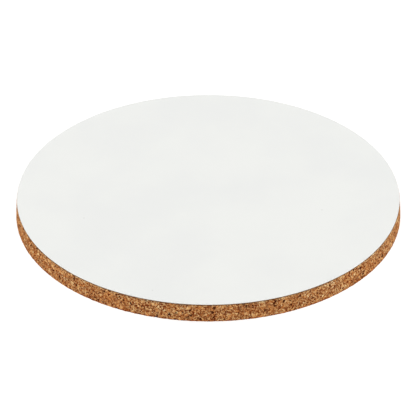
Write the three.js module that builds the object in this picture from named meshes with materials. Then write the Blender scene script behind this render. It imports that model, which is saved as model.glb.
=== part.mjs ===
// A round, frameless cork board lying on its cork side: a disc of pressed cork granules with a thin
// white-coated facing sheet glued on top.
//
// Millimetres, +Z up. The origin is at the centre of the underside, so the board stands on z = 0.
// Every layer is a body of revolution about Z. The layers touch face to face and nothing moves.

import * as THREE from "three";

// Driving dimensions. The layer thicknesses are whole eighths of a millimetre, so that each pair of
// touching faces lies in exactly the same plane.
const CORK_RADIUS = 100; // widest, just above the underside
const CORK_TOP_RADIUS = 99.75; // the cutting die leaves the rim very slightly tapered
const CORK_THICKNESS = 9.625;
const CORK_ARRIS_RADIUS = 0.25; // the lower corner of the rim is slightly worn
const GLUE_RADIUS = 99.4; // the glue stops just short of the rim
const GLUE_THICKNESS = 0.125;
const FACE_RADIUS = 99.6; // facing sheet and coat are cut together
const SHEET_THICKNESS = 0.375;
const COAT_THICKNESS = 0.125;
const COAT_EDGE_EASE = 0.06; // the upper edge of the coat is eased by the cut

const ROUND_SEGMENTS = 192;
const ARRIS_SEGMENTS = 4;

// Heights of the layers, from the table up.
const GLUE_BOTTOM = CORK_THICKNESS;
const SHEET_BOTTOM = GLUE_BOTTOM + GLUE_THICKNESS;
const COAT_BOTTOM = SHEET_BOTTOM + SHEET_THICKNESS;
const COAT_TOP = COAT_BOTTOM + COAT_THICKNESS;

const corkMaterial = new THREE.MeshStandardMaterial({ color: 0xa56f43, roughness: 0.9, metalness: 0 });
const glueMaterial = new THREE.MeshStandardMaterial({ color: 0xa8885d, roughness: 0.55, metalness: 0 });
const sheetMaterial = new THREE.MeshStandardMaterial({ color: 0x735537, roughness: 0.8, metalness: 0 });
const coatMaterial = new THREE.MeshStandardMaterial({ color: 0xeff1ee, roughness: 0.55, metalness: 0 });

// Turns a half section about Z. The profile runs up from the axis on the underside, out and round the
// rim, and back to the axis on top, as [radius, height] pairs.
function turned(name, profile, material) {
  const points = profile.map(([radius, height]) => new THREE.Vector2(radius, height));
  const geometry = new THREE.LatheGeometry(points, ROUND_SEGMENTS);
  geometry.rotateX(Math.PI / 2); // LatheGeometry turns about Y; the board's axis is Z
  const mesh = new THREE.Mesh(geometry, material);
  mesh.name = name;
  return mesh;
}

// Pressed cork: a thick disc, widest just above its worn lower corner and a little narrower at the top.
function corkDisc() {
  const profile = [[0, 0]];
  for (let step = 0; step <= ARRIS_SEGMENTS; step++) {
    const angle = (Math.PI / 2) * (step / ARRIS_SEGMENTS);
    const radius = CORK_RADIUS - CORK_ARRIS_RADIUS * (1 - Math.sin(angle));
    const height = CORK_ARRIS_RADIUS * (1 - Math.cos(angle));
    profile.push([radius, height]);
  }
  profile.push([CORK_TOP_RADIUS, CORK_THICKNESS], [0, CORK_THICKNESS]);
  return turned("cork_disc", profile, corkMaterial);
}

// The glue between the cork and the facing sheet.
function adhesiveFilm() {
  const profile = [
    [0, GLUE_BOTTOM],
    [GLUE_RADIUS, GLUE_BOTTOM],
    [GLUE_RADIUS, SHEET_BOTTOM],
    [0, SHEET_BOTTOM],
  ];
  return turned("adhesive_film", profile, glueMaterial);
}

// The thin hard sheet under the white coat, whose cut edge shows as a fine dark line.
function facingSheet() {
  const profile = [
    [0, SHEET_BOTTOM],
    [FACE_RADIUS, SHEET_BOTTOM],
    [FACE_RADIUS, COAT_BOTTOM],
    [0, COAT_BOTTOM],
  ];
  return turned("facing_sheet", profile, sheetMaterial);
}

// The smooth white coat, with its upper edge eased.
function whiteCoat() {
  const profile = [
    [0, COAT_BOTTOM],
    [FACE_RADIUS, COAT_BOTTOM],
    [FACE_RADIUS, COAT_TOP - COAT_EDGE_EASE],
    [FACE_RADIUS - COAT_EDGE_EASE, COAT_TOP],
    [0, COAT_TOP],
  ];
  return turned("white_coat", profile, coatMaterial);
}

const corkBoard = new THREE.Group();
corkBoard.add(corkDisc(), adhesiveFilm(), facingSheet(), whiteCoat());

export default corkBoard;
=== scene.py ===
import math

import bpy
import numpy as np
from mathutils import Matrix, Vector
from mathutils.geometry import delaunay_2d_cdt


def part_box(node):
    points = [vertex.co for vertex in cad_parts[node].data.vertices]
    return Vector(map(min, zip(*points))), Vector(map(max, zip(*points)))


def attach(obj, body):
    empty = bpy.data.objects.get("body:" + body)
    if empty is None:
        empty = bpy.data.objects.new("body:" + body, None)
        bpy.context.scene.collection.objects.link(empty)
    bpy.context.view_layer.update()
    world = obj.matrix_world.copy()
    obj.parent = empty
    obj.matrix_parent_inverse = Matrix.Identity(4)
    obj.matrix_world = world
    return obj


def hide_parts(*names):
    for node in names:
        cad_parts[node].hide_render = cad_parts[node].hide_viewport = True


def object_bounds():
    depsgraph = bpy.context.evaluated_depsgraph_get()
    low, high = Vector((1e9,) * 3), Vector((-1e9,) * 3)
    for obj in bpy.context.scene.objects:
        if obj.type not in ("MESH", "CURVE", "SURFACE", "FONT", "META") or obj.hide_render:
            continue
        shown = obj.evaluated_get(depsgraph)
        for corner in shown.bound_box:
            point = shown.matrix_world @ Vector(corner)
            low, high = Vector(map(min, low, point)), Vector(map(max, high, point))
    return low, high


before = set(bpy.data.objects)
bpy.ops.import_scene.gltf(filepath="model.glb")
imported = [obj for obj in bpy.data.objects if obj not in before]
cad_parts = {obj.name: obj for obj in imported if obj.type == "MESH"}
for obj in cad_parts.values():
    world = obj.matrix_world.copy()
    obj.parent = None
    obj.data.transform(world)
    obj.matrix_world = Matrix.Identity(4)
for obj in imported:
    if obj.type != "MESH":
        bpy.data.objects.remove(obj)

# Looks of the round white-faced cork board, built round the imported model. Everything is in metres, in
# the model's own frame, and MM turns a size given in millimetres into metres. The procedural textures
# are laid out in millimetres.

CAD_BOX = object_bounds()

MM = 0.001
FULL_TURN = 2 * math.pi

# Camera: far away with a long lens, looking down on the board.
CAMERA_ELEVATION = math.radians(33.32)
CAMERA_DISTANCE = 4.0
CAMERA_AIM = (-0.16 * MM, 0.0, 3.66 * MM)
CAMERA_REACH = 20.0
SENSOR_WIDTH = 36.0
BOARD_SHARE_OF_FRAME = 0.9226

# Light: an even white room, three softboxes and a table that glows a little. A softbox has its compass
# angle from +X and its height, in degrees, and its strength.
ROOM_LIGHT = 0.7
SOFTBOXES = (
    ("left_softbox", 160, 6.5, 2.9),
    ("right_softbox", 20, 6.5, 2.9),
    ("front_softbox", -90, 18, 1.15),
)
SOFTBOX_SPREAD = 50
TABLE_HALF_WIDTH = 8.0
TABLE_SHADE = 0.5
TABLE_GLOW = 0.7

# Cork body. The relief sinks its granules below the outer surface, so that surface stands a little
# proud of the model's rim.
CORK_COLUMNS = 1400
CORK_ROW = 0.42 * MM
CORK_HEADROOM = 0.2 * MM
CORK_TAPER = 0.4 * MM
CORK_ARRIS = 0.15 * MM
CORK_ARRIS_STEPS = 2
CORK_UNDERSIDE_SPACING = 0.85 * MM
REST_ATTRIBUTE = "cork_rest"

# Granules, in millimetres. A granule of one size is whole, or else made of granules of the next size.
# A shake is the size of a noise and how far it moves things.
GRANULE_SIZES = (1.5, 0.95, 0.6)
WHOLE_SHARES = (0.35, 0.6)
SHAKES = ((2.4, 3.0), (0.7, 0.5))
SPECK_SPACING = 2.0
SPECK_RADIUS = 0.85
SPECK_RAGGEDNESS = 1.4
SEAM_DEPTH = 0.12
LEVEL_DEPTH = 0.12
PORE_DEPTH = 0.2
MESH_SEAM_WIDTH = 0.3
BUMP_SEAM_WIDTH = 0.16
BUMP_SHARE = 0.5
GRAIN_SIZE = 0.4
GRAIN_DRAWN_OUT = (1.0, 1.0, 0.2)

# Cork colours, each as 0 to 255 on a screen. The base colour lies between the tones, by the sum of a
# middle value, each granule's own tone, its grain and a slow drift over CLOUD_SIZE. The spreads say how
# far these three move it. The other colours lie over it, each by at most its amount.
TONE_SPREAD = 0.3
GRAIN_SPREAD = 1.75
CLOUD_SPREAD = 0.4
CLOUD_SIZE = 8.0
CORK_TONES = (
    (0.0, (116, 52, 16)),
    (0.25, (164, 96, 44)),
    (0.5, (192, 139, 83)),
    (0.75, (210, 172, 118)),
    (1.0, (234, 220, 178)),
)
BARK = (96, 46, 20)
BARK_AMOUNT = 0.6
PALE_CORK = (236, 206, 146)
PALE_AMOUNT = 0.85
GROWTH_LINE = (122, 46, 8)
# SEAM is the dark binder between granules and partly painted shade in the gaps between them.
SEAM = (88, 28, 4)
SPECK = (56, 14, 2)
SPECK_AMOUNT = 0.95
CORK_SPECULAR = 0.02

# Facing: the layers glued on the cork.
FACE_COLUMNS = 720
FACE_SPACING = 6 * MM
HIDDEN_SPACING = 9 * MM
COAT_ROLL_WIDTH = 0.4 * MM
COAT_ROLL_DROP = 0.8
COAT_ROLL_STEPS = 6
COAT_FLAT_INSET = 3 * COAT_ROLL_WIDTH
SHEET_WANDER = 0.03 * MM
GLUE_WANDER = 0.12 * MM
WANDER_WAVES = (3, 7, 16, 37, 83, 160)
DUST_SPECKS = ((-64.5, -19.4), (59.0, -11.8), (-28.5, -86.5))

# Colours of the facing. Each material varies between two, and scorch and dust lie over them.
GLUE_COLOURS = ((150, 116, 74), (186, 156, 112))
FIBRE_COLOURS = ((88, 58, 32), (142, 110, 78))
SCORCH = (84, 64, 48)
SCORCH_AMOUNT = 0.3
COAT_COLOURS = ((227, 228, 226), (230, 231, 228))
DUST = (150, 150, 140)
DUST_AMOUNT = 0.3
FIBRE_RELIEF = 0.03 * MM
COAT_RIPPLE = 0.004 * MM

# Where each piece's surface lies in its unit square of texture.
RIM_STRIPS = 4
STRIP_GAP = 0.006
MAIN_DISC = 0.71
MINOR_DISC = 0.24


class Nodes:
    """Adds linked nodes to one node tree, a shader tree or a geometry tree alike."""

    def __init__(self, tree):
        self.tree = tree

    def put(self, socket, value):
        """Links value to the socket if it is a socket itself, and sets it otherwise."""
        if isinstance(value, bpy.types.NodeSocket):
            self.tree.links.new(value, socket)
        else:
            socket.default_value = value

    def add(self, kind, inputs, **settings):
        """A new node of that kind, with its settings made before its inputs are filled."""
        node = self.tree.nodes.new(kind)
        for name, value in settings.items():
            setattr(node, name, value)
        for key, value in inputs.items():
            self.put(node.inputs[key], value)
        return node

    def math(self, operation, a, b=0.0):
        return self.add("ShaderNodeMath", {0: a, 1: b}, operation=operation).outputs[0]

    def total(self, *values):
        """The sum of several values."""
        result = values[0]
        for value in values[1:]:
            result = self.math("ADD", result, value)
        return result

    def product(self, a, b):
        return self.math("MULTIPLY", a, b)

    def about_zero(self, value, spread):
        """A value from 0 to 1 turned into one from minus half the spread to plus half of it."""
        return self.product(self.math("SUBTRACT", value, 0.5), spread)

    def vector(self, operation, a, b):
        return self.add("ShaderNodeVectorMath", {0: a, 1: b}, operation=operation).outputs[0]

    def vector_length(self, vector):
        return self.add("ShaderNodeVectorMath", {0: vector}, operation="LENGTH").outputs["Value"]

    def scaled(self, vector, factor):
        inputs = {"Vector": vector, "Scale": factor}
        return self.add("ShaderNodeVectorMath", inputs, operation="SCALE").outputs[0]

    def step(self, value, low, high, to_low=0.0, to_high=1.0):
        """A smooth step from to_low at low to to_high at high."""
        inputs = {
            "Value": value,
            "From Min": low,
            "From Max": high,
            "To Min": to_low,
            "To Max": to_high,
        }
        node = self.add("ShaderNodeMapRange", inputs, interpolation_type="SMOOTHSTEP")
        return node.outputs["Result"]

    def mix(self, factor, a, b):
        return self.add("ShaderNodeMix", {0: factor, 2: a, 3: b}, data_type="FLOAT").outputs[0]

    def mix_vector(self, factor, a, b):
        return self.add("ShaderNodeMix", {0: factor, 4: a, 5: b}, data_type="VECTOR").outputs[1]

    def mix_colour(self, factor, a, b):
        return self.add("ShaderNodeMix", {0: factor, 6: a, 7: b}, data_type="RGBA").outputs[2]

    def split(self, vector):
        """The three parts of a vector."""
        return tuple(self.add("ShaderNodeSeparateXYZ", {0: vector}).outputs)

    def noise(self, position, size, detail=2.0):
        """Noise whose features measure about size, as a value and as a vector, each about 0.5."""
        inputs = {"Vector": position, "Scale": 1.0 / size, "Detail": detail}
        node = self.add("ShaderNodeTexNoise", inputs)
        return node.outputs[0], node.outputs[1]

    def cells(self, position, size):
        """Cells about size across: the distance to the cell's middle, and the cell's random vector."""
        node = self.add("ShaderNodeTexVoronoi", {"Vector": position, "Scale": 1.0 / size})
        return self.product(node.outputs["Distance"], size), node.outputs["Color"]

    def cell_edge(self, position, size):
        """The distance to the nearest wall between cells about size across."""
        inputs = {"Vector": position, "Scale": 1.0 / size}
        node = self.add("ShaderNodeTexVoronoi", inputs, feature="DISTANCE_TO_EDGE")
        return self.product(node.outputs["Distance"], size)

    def scrambled(self, vector):
        """Other random numbers made from a random vector."""
        return self.add("ShaderNodeTexWhiteNoise", {"Vector": vector}).outputs["Color"]

    def bump(self, height, unit):
        """A normal tilted by a height given in units of that many metres."""
        return self.add("ShaderNodeBump", {"Height": height, "Distance": unit}).outputs[0]


# Cork granules -------------------------------------------------------------------------------------


def shaken(nodes, position):
    """The position moved about, so that granules get drawn out and have crooked outlines."""
    for size, reach in SHAKES:
        shift = nodes.vector("SUBTRACT", nodes.noise(position, size)[1], (0.5, 0.5, 0.5))
        position = nodes.vector("ADD", position, nodes.scaled(shift, reach))
    return position


def granules(nodes, position):
    """The granule at a point: the distance to its edge in millimetres, and its random vector."""
    smallest = GRANULE_SIZES[-1]
    edge = nodes.cell_edge(position, smallest)
    random = nodes.cells(position, smallest)[1]
    for size, share in reversed(list(zip(GRANULE_SIZES, WHOLE_SHARES))):
        larger = nodes.cells(position, size)[1]
        larger_edge = nodes.cell_edge(position, size)
        whole = nodes.math("LESS_THAN", nodes.split(larger)[0], share)
        edge = nodes.mix(whole, nodes.math("MINIMUM", larger_edge, edge), larger_edge)
        random = nodes.mix_vector(whole, random, larger)
    return edge, nodes.scrambled(random)


def specks(nodes, position):
    """How deep a point is in a speck of bark or a pore, from 0 to 1. The cork paints both dark, and in
    a pore that dark is painted shade.
    """
    middle, random = nodes.cells(position, SPECK_SPACING)
    radius = nodes.step(nodes.split(random)[1], 0.6, 1.0, 0.0, SPECK_RADIUS)
    ragged = nodes.about_zero(nodes.noise(position, 0.45)[0], SPECK_RAGGEDNESS)
    return nodes.step(nodes.math("SUBTRACT", nodes.total(radius, ragged), middle), 0.0, 0.12)


def seam_openness(nodes, position):
    """How open the seams are about a point, from 0 to 1, so that few granules are ringed all round."""
    return nodes.step(nodes.noise(position, 0.9)[0], 0.38, 0.64, 0.2, 1.0)


def relief(nodes, position, seam_width):
    """How far the cork lies below its outer surface at a point, in millimetres."""
    bent = shaken(nodes, position)
    edge, random = granules(nodes, bent)
    hollow = nodes.step(edge, 0.0, seam_width, SEAM_DEPTH, 0.0)
    seam = nodes.product(hollow, seam_openness(nodes, position))
    level = nodes.product(nodes.split(random)[2], LEVEL_DEPTH)
    pore = nodes.product(specks(nodes, bent), PORE_DEPTH)
    return nodes.total(seam, level, pore)


# Meshes --------------------------------------------------------------------------------------------


def turned_points(profile, columns):
    """The points of a profile of (radius, height) pairs turned about Z, row by row."""
    angle = np.arange(columns) * FULL_TURN / columns
    rows = []
    for radius, height in profile:
        ring = (radius * np.cos(angle), radius * np.sin(angle), np.full(columns, height))
        rows.append(np.stack(ring, 1))
    return np.concatenate(rows)


def turned_faces(rows, columns):
    """Quads between neighbouring rows, facing out where the rows run from the top down."""
    faces = []
    for row in range(rows - 1):
        high, low = row * columns, (row + 1) * columns
        for i in range(columns):
            j = (i + 1) % columns
            faces.append((high + i, low + i, low + j, high + j))
    return faces


def filled_ring(ring, spacing):
    """Fills a round, flat ring of points with evenly sized triangles.

    Returns the points added inside it, and the triangles, facing up, whose indices count the ring's
    points first.
    """
    radius = float(np.hypot(ring[:, 0], ring[:, 1]).min())
    clear_of_ring = 0.6 * spacing
    tolerance = 1e-9
    reach = int(radius / spacing) + 2
    column, row = np.meshgrid(np.arange(-reach, reach + 1), np.arange(-reach, reach + 1))
    x = (column + 0.5 * (row % 2)) * spacing
    y = row * spacing * math.sqrt(0.75)
    inside = np.hypot(x, y) < radius - clear_of_ring
    added = np.stack([x[inside], y[inside], np.full(int(inside.sum()), ring[0, 2])], 1)
    flat = [Vector(point) for point in np.concatenate([ring, added])[:, :2].tolist()]
    triangles = delaunay_2d_cdt(flat, [], [], 0, tolerance)[2]
    return added, triangles


def turned_piece(name, profile, columns, spacings, wander=0.0, seed=0):
    """A closed piece turned about Z, whose profile runs from the top's rim down to the bottom's rim.

    spacings are the sizes of the triangles on top and underneath, and the rim wanders in and out by
    about wander.
    """
    wall = turned_points(profile, columns)
    wall[:, :2] *= rim_wander(columns, len(profile), wander / profile[0][0], seed)[:, None]
    faces = turned_faces(len(profile), columns)
    top_added, top_faces = filled_ring(wall[:columns], spacings[0])
    low_added, low_faces = filled_ring(wall[-columns:], spacings[1])
    past_one_row = len(wall) - columns
    past_top = past_one_row + len(top_added)
    for face in top_faces:
        faces.append(tuple(i if i < columns else i + past_one_row for i in face))
    for face in low_faces:
        faces.append(tuple(i + (past_one_row if i < columns else past_top) for i in reversed(face)))
    points = np.concatenate([wall, top_added, low_added])
    piece = new_object(name, points, faces)
    lay_out(piece, len(profile), columns, len(top_faces))
    return piece


def rim_wander(columns, rows, share, seed):
    """A factor about 1 for each point of a wall, which wanders slowly round the rim."""
    random = np.random.default_rng(seed)
    angle = np.arange(columns) * FULL_TURN / columns
    factor = np.ones(columns)
    for waves in WANDER_WAVES:
        factor += share / 3 * np.sin(waves * angle + random.uniform(0, FULL_TURN))
    return np.tile(factor, rows)


def lay_out(piece, rows, columns, top_faces):
    """Gives the piece its texture map: the rim as a few strips, and the two flats as discs.

    The flat that shows most is the bigger disc: the top, unless the piece is the cork body.
    """
    mesh = piece.data
    count = len(mesh.loops)
    vertex = np.empty(count, int)
    mesh.loops.foreach_get("vertex_index", vertex)
    corners = np.empty(len(mesh.polygons), int)
    mesh.polygons.foreach_get("loop_total", corners)
    face = np.repeat(np.arange(len(corners)), corners)
    place = np.empty(len(mesh.vertices) * 3)
    mesh.vertices.foreach_get("co", place)
    flat = place.reshape(-1, 3)[vertex, :2]
    reach = np.abs(flat).max()

    wall_faces = (rows - 1) * columns
    per_strip = columns // RIM_STRIPS
    strip_height = (1 - MAIN_DISC) / RIM_STRIPS
    face_column = face % columns
    column = vertex % columns
    column = np.where((column == 0) & (face_column == columns - 1), columns, column)
    strip = face_column // per_strip
    u = STRIP_GAP + (1 - 2 * STRIP_GAP) * (column - strip * per_strip) / per_strip
    v = MAIN_DISC + strip_height * strip + STRIP_GAP
    v = v + (strip_height - 2 * STRIP_GAP) * (1 - (vertex // columns) / (rows - 1))
    uv = np.stack([u, v], 1)

    on_top = (face >= wall_faces) & (face < wall_faces + top_faces)
    underneath = face >= wall_faces + top_faces
    main, minor = (underneath, on_top) if piece.name.startswith("cork") else (on_top, underneath)
    for chosen, across, middle in (
        (main, MAIN_DISC, MAIN_DISC / 2),
        (minor, MINOR_DISC, MAIN_DISC + MINOR_DISC / 2),
    ):
        share = across * (1 - STRIP_GAP) / (2 * reach)
        uv[chosen] = flat[chosen] * share + (middle, across / 2)
    layer = mesh.uv_layers.new(name="OFBake")
    layer.data.foreach_set("uv", uv.astype(np.float32).ravel())


def new_object(name, points, faces):
    mesh = bpy.data.meshes.new(name)
    mesh.from_pydata([tuple(point) for point in points.tolist()], [], faces)
    mesh.update()
    piece = bpy.data.objects.new(name, mesh)
    bpy.context.scene.collection.objects.link(piece)
    return piece


def shade_smooth(piece, sharp_from):
    """Smooth shading, with creases where faces meet at more than sharp_from degrees."""
    piece.data.shade_smooth()
    piece.data.set_sharp_from_angle(angle=math.radians(sharp_from))


def finish_piece(piece, node, material):
    """Puts the piece in the place of its CAD node."""
    piece.data.materials.append(material)
    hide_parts(node)
    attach(piece, "root")


def cork_body():
    low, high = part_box("cork_disc")
    radius = high.x + CORK_HEADROOM
    wall_height = high.z - low.z - CORK_ARRIS
    rows = round(wall_height / CORK_ROW)
    profile = []
    for row in range(rows):
        down = row / rows
        profile.append((radius - CORK_TAPER * (1 - down), high.z - wall_height * down))
    for step in range(CORK_ARRIS_STEPS + 1):
        angle = FULL_TURN / 4 * step / CORK_ARRIS_STEPS
        inset = CORK_ARRIS * (1 - math.cos(angle))
        profile.append((radius - inset, low.z + CORK_ARRIS * (1 - math.sin(angle))))
    spacings = (HIDDEN_SPACING, CORK_UNDERSIDE_SPACING)
    piece = turned_piece("cork_body", profile, CORK_COLUMNS, spacings)
    sink_granules(piece)
    shade_smooth(piece, sharp_from=60)
    finish_piece(piece, "cork_disc", cork_material())


def sink_granules(piece):
    """Presses the granule relief into the mesh, keeping each point's first place for the material."""
    tree = bpy.data.node_groups.new("granule_relief", "GeometryNodeTree")
    tree.interface.new_socket("Geometry", in_out="INPUT", socket_type="NodeSocketGeometry")
    tree.interface.new_socket("Geometry", in_out="OUTPUT", socket_type="NodeSocketGeometry")
    nodes = Nodes(tree)
    start = nodes.add("NodeGroupInput", {}).outputs[0]
    place = nodes.add("GeometryNodeInputPosition", {}).outputs[0]
    normal = nodes.add("GeometryNodeInputNormal", {}).outputs[0]
    inputs = {"Geometry": start, "Name": REST_ATTRIBUTE, "Value": place}
    settings = {"data_type": "FLOAT_VECTOR", "domain": "POINT"}
    kept = nodes.add("GeometryNodeStoreNamedAttribute", inputs, **settings)
    depth = relief(nodes, nodes.scaled(place, 1 / MM), MESH_SEAM_WIDTH)
    offset = nodes.scaled(normal, nodes.product(depth, -MM))
    moved = nodes.add("GeometryNodeSetPosition", {"Geometry": kept.outputs[0], "Offset": offset})
    nodes.add("NodeGroupOutput", {0: moved.outputs[0]})
    modifier = piece.modifiers.new("granule_relief", "NODES")
    modifier.node_group = tree
    evaluated = piece.evaluated_get(bpy.context.evaluated_depsgraph_get())
    pressed = bpy.data.meshes.new_from_object(evaluated)
    piece.modifiers.clear()
    piece.data = pressed


def plain_layer(name, node, wander, seed):
    """A flat layer in the place of its CAD node, with an upright edge that wanders."""
    low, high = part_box(node)
    profile = [(high.x, high.z), (high.x, low.z)]
    spacings = (HIDDEN_SPACING, HIDDEN_SPACING)
    piece = turned_piece(name, profile, FACE_COLUMNS, spacings, wander, seed)
    shade_smooth(piece, sharp_from=40)
    return piece


def glue_line():
    piece = plain_layer("glue_line", "adhesive_film", GLUE_WANDER, 1)
    finish_piece(piece, "adhesive_film", glue_material())


def sheet_under_face():
    piece = plain_layer("sheet_under_face", "facing_sheet", SHEET_WANDER, 2)
    finish_piece(piece, "facing_sheet", sheet_material())


def white_face():
    """The coat, whose upper edge the cut has rolled down a little."""
    low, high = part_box("white_coat")
    drop = COAT_ROLL_DROP * (high.z - low.z)
    profile = [(high.x - COAT_FLAT_INSET, high.z)]
    for step in range(COAT_ROLL_STEPS + 1):
        angle = FULL_TURN / 4 * step / COAT_ROLL_STEPS
        across = COAT_ROLL_WIDTH * (1 - math.sin(angle))
        profile.append((high.x - across, high.z - drop * (1 - math.cos(angle))))
    profile.append((high.x, low.z))
    spacings = (FACE_SPACING, HIDDEN_SPACING)
    piece = turned_piece("white_face", profile, FACE_COLUMNS, spacings)
    shade_smooth(piece, sharp_from=50)
    finish_piece(piece, "white_coat", coat_material())


# Materials -----------------------------------------------------------------------------------------


def srgb(colour):
    """A colour given as 0 to 255 on a screen, as linear light with full alpha."""

    def linear(value):
        share = value / 255
        return share / 12.92 if share <= 0.04045 else ((share + 0.055) / 1.055) ** 2.4

    red, green, blue = colour
    return linear(red), linear(green), linear(blue), 1.0


def new_material(name):
    material = bpy.data.materials.new(name)
    material.use_nodes = True
    return material, Nodes(material.node_tree), material.node_tree.nodes["Principled BSDF"]


def own_position(nodes):
    """The place on the piece, in millimetres."""
    place = nodes.add("ShaderNodeTexCoord", {}).outputs["Object"]
    return nodes.scaled(place, 1 / MM)


def colour_ramp(nodes, value, stops):
    """A colour between stops of (value, colour as 0 to 255)."""
    node = nodes.add("ShaderNodeValToRGB", {0: value})
    elements = node.color_ramp.elements
    while len(elements) < len(stops):
        elements.new(0.5)
    for element, (place, colour) in zip(elements, stops):
        element.position = place
        element.color = srgb(colour)
    return node.outputs[0]


def varied(nodes, value, low, high, colours):
    """A colour that goes from the first to the second of two as the value goes from low to high."""
    return nodes.mix_colour(nodes.step(value, low, high), srgb(colours[0]), srgb(colours[1]))


def granule_grain(nodes, position, random):
    """The grain inside a granule, drawn out another way in each one, as a value about 0.5."""
    axis = nodes.vector("SUBTRACT", random, (0.5, 0.5, 0.5))
    angle = nodes.product(nodes.split(random)[1], FULL_TURN)
    inputs = {"Vector": position, "Axis": axis, "Angle": angle}
    turned = nodes.add("ShaderNodeVectorRotate", inputs, rotation_type="AXIS_ANGLE").outputs[0]
    stretched = nodes.vector("MULTIPLY", turned, GRAIN_DRAWN_OUT)
    return nodes.noise(stretched, GRAIN_SIZE, 3.0)[0]


def growth_lines(nodes, position, random):
    """Thin dark lines that wind through a granule, from 0 to 1."""
    inner = nodes.vector("ADD", position, nodes.scaled(random, 50.0))
    height = nodes.noise(inner, 0.6, 1.0)[0]
    off = nodes.math("ABSOLUTE", nodes.math("SUBTRACT", height, 0.5))
    strength = nodes.step(nodes.noise(position, 0.5)[0], 0.38, 0.6, 0.1, 1.0)
    return nodes.product(nodes.step(off, 0.02, 0.06, 1.0, 0.0), strength)


def cork_material():
    """Pressed cork, coloured by the same granules as the relief."""
    material, nodes, shader = new_material("pressed_cork")
    rest = nodes.add("ShaderNodeAttribute", {}, attribute_name=REST_ATTRIBUTE).outputs["Vector"]
    position = nodes.scaled(rest, 1 / MM)
    bent = shaken(nodes, position)
    edge, random = granules(nodes, bent)
    tone, kind = nodes.split(random)[:2]
    grain = granule_grain(nodes, position, random)
    cloud = nodes.noise(position, CLOUD_SIZE)[0]
    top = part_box("cork_disc")[1].z / MM
    height = nodes.split(position)[2]
    value = nodes.total(
        # painted light: the cork is made paler in a band under the top edge, where that edge catches
        # more light from above
        nodes.step(height, top - 1.5, top - 0.3, 0.51, 0.61),  # a little paler near the top
        # painted shade: the wall darkens towards the table like a contact shadow, and the next step
        # keeps it off the underside
        nodes.step(height, 0.2, 1.4, -0.15, 0.0),  # darker near the table
        nodes.step(height, 0.0, 0.15, 0.15, 0.0),  # but not underneath
        nodes.about_zero(tone, TONE_SPREAD),
        nodes.about_zero(grain, GRAIN_SPREAD),
        nodes.about_zero(cloud, CLOUD_SPREAD),
    )
    bark = nodes.step(kind, 0.97, 0.98, 0.0, BARK_AMOUNT)
    pale = nodes.step(kind, 0.014, 0.01, 0.0, PALE_AMOUNT)
    # The seam colour is partly painted shade in the gaps between granules, over the dark binder.
    seam = nodes.product(nodes.step(edge, 0.06, 0.22, 1.0, 0.0), seam_openness(nodes, position))
    colour = colour_ramp(nodes, value, CORK_TONES)
    for amount, over in (
        (bark, BARK),
        (pale, PALE_CORK),
        (growth_lines(nodes, position, random), GROWTH_LINE),
        (seam, SEAM),
        # painted shade in part: a speck that is a pore is coloured dark for the shade in its hollow,
        # while one of bark has its own dark colour
        (nodes.product(specks(nodes, bent), SPECK_AMOUNT), SPECK),
    ):
        colour = nodes.mix_colour(amount, colour, srgb(over))
    nodes.put(shader.inputs["Base Color"], colour)
    nodes.put(shader.inputs["Roughness"], nodes.step(grain, 0.2, 0.8, 0.95, 0.75))
    shader.inputs["Specular IOR Level"].default_value = CORK_SPECULAR
    fine = nodes.product(nodes.noise(position, 0.12)[0], 0.05)
    raised = nodes.math("SUBTRACT", fine, relief(nodes, position, BUMP_SEAM_WIDTH))
    nodes.put(shader.inputs["Normal"], nodes.bump(raised, BUMP_SHARE * MM))
    return material


def glue_material():
    """Dried glue, amber where it is thick."""
    material, nodes, shader = new_material("dried_glue")
    cloud = nodes.noise(own_position(nodes), 3.0)[0]
    colour = varied(nodes, cloud, 0.35, 0.65, GLUE_COLOURS)
    nodes.put(shader.inputs["Base Color"], colour)
    nodes.put(shader.inputs["Roughness"], nodes.step(cloud, 0.35, 0.65, 0.45, 0.65))
    return material


def sheet_material():
    """The sheet's cut edge: layered brown fibre, darker where the blade pressed."""
    material, nodes, shader = new_material("sheet_core")
    position = own_position(nodes)
    fibre = nodes.noise(nodes.vector("MULTIPLY", position, (1.0, 1.0, 6.0)), 0.5, 3.0)[0]
    scorch = nodes.noise(position, 4.0)[0]
    colour = varied(nodes, fibre, 0.3, 0.7, FIBRE_COLOURS)
    scorched = nodes.step(scorch, 0.45, 0.7, 0.0, SCORCH_AMOUNT)
    colour = nodes.mix_colour(scorched, colour, srgb(SCORCH))
    nodes.put(shader.inputs["Base Color"], colour)
    nodes.put(shader.inputs["Roughness"], nodes.step(fibre, 0.3, 0.7, 0.7, 0.9))
    nodes.put(shader.inputs["Normal"], nodes.bump(fibre, FIBRE_RELIEF))
    return material


def dust(nodes, position):
    """How deep a point is in one of the few specks of dust caught in the coat, from 0 to 1."""
    flat = nodes.vector("MULTIPLY", position, (1.0, 1.0, 0.0))
    depth = 0.0
    for x, y in DUST_SPECKS:
        away = nodes.vector_length(nodes.vector("SUBTRACT", flat, (x, y, 0.0)))
        depth = nodes.math("MAXIMUM", nodes.step(away, 0.15, 0.55, 1.0, 0.0), depth)
    return depth


def coat_material():
    """A matte white coat with a faint mottle, a very fine ripple and a few specks of dust."""
    material, nodes, shader = new_material("white_face")
    position = own_position(nodes)
    cloud = nodes.noise(position, 40.0, 3.0)[0]
    colour = varied(nodes, cloud, 0.3, 0.7, COAT_COLOURS)
    dusty = nodes.product(dust(nodes, position), DUST_AMOUNT)
    colour = nodes.mix_colour(dusty, colour, srgb(DUST))
    nodes.put(shader.inputs["Base Color"], colour)
    nodes.put(shader.inputs["Roughness"], nodes.step(cloud, 0.3, 0.7, 0.5, 0.6))
    shader.inputs["Specular IOR Level"].default_value = 0.0
    ripple = nodes.noise(position, 1.2)[0]
    nodes.put(shader.inputs["Normal"], nodes.bump(ripple, COAT_RIPPLE))
    return material


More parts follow.
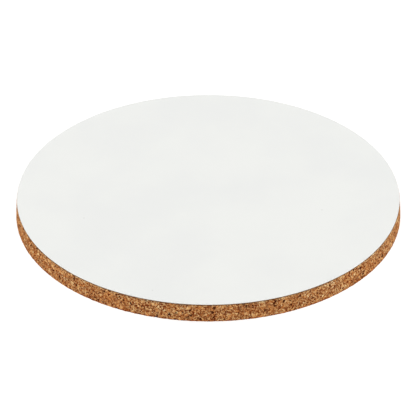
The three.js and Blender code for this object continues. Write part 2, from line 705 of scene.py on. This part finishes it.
def table_material():
    material, nodes, shader = new_material("light_table")
    shader.inputs["Base Color"].default_value = (TABLE_SHADE, TABLE_SHADE, TABLE_SHADE, 1)
    shader.inputs["Roughness"].default_value = 1.0
    shader.inputs["Specular IOR Level"].default_value = 0.0
    shader.inputs["Emission Color"].default_value = (1, 1, 1, 1)
    shader.inputs["Emission Strength"].default_value = TABLE_GLOW
    return material


# Stage ---------------------------------------------------------------------------------------------


def look_at(thing, target):
    direction = Vector(target) - thing.location
    thing.rotation_euler = direction.to_track_quat("-Z", "Y").to_euler()


def make_camera():
    low, high = CAD_BOX
    data = bpy.data.cameras.new("camera")
    data.sensor_width = SENSOR_WIDTH
    frame_width = (high[0] - low[0]) / BOARD_SHARE_OF_FRAME
    data.lens = SENSOR_WIDTH * CAMERA_DISTANCE / frame_width
    data.clip_end = CAMERA_REACH
    camera = bpy.data.objects.new("camera", data)
    bpy.context.scene.collection.objects.link(camera)
    back = Vector((0, -math.cos(CAMERA_ELEVATION), math.sin(CAMERA_ELEVATION)))
    camera.location = Vector(CAMERA_AIM) + back * CAMERA_DISTANCE
    look_at(camera, CAMERA_AIM)
    bpy.context.scene.camera = camera


def make_table():
    reach = TABLE_HALF_WIDTH
    corners = np.array([(-reach, -reach, 0), (reach, -reach, 0), (reach, reach, 0), (-reach, reach, 0)])
    table = new_object("table", corners, [(0, 1, 2, 3)])
    table.data.materials.append(table_material())


def add_softbox(name, azimuth, elevation, strength):
    data = bpy.data.lights.new(name, "SUN")
    data.energy = strength
    data.angle = math.radians(SOFTBOX_SPREAD)
    lamp = bpy.data.objects.new(name, data)
    bpy.context.scene.collection.objects.link(lamp)
    turn, rise = math.radians(azimuth), math.radians(elevation)
    lamp.location = (math.cos(turn) * math.cos(rise), math.sin(turn) * math.cos(rise), math.sin(rise))
    look_at(lamp, (0, 0, 0))


def make_light():
    world = bpy.data.worlds.new("studio")
    world.use_nodes = True
    background = world.node_tree.nodes["Background"]
    background.inputs["Color"].default_value = (1, 1, 1, 1)
    background.inputs["Strength"].default_value = ROOM_LIGHT
    bpy.context.scene.world = world
    for softbox in SOFTBOXES:
        add_softbox(*softbox)


bpy.context.scene.view_settings.view_transform = "Standard"
make_camera()
make_table()
make_light()
cork_body()
glue_line()
sheet_under_face()
white_face()
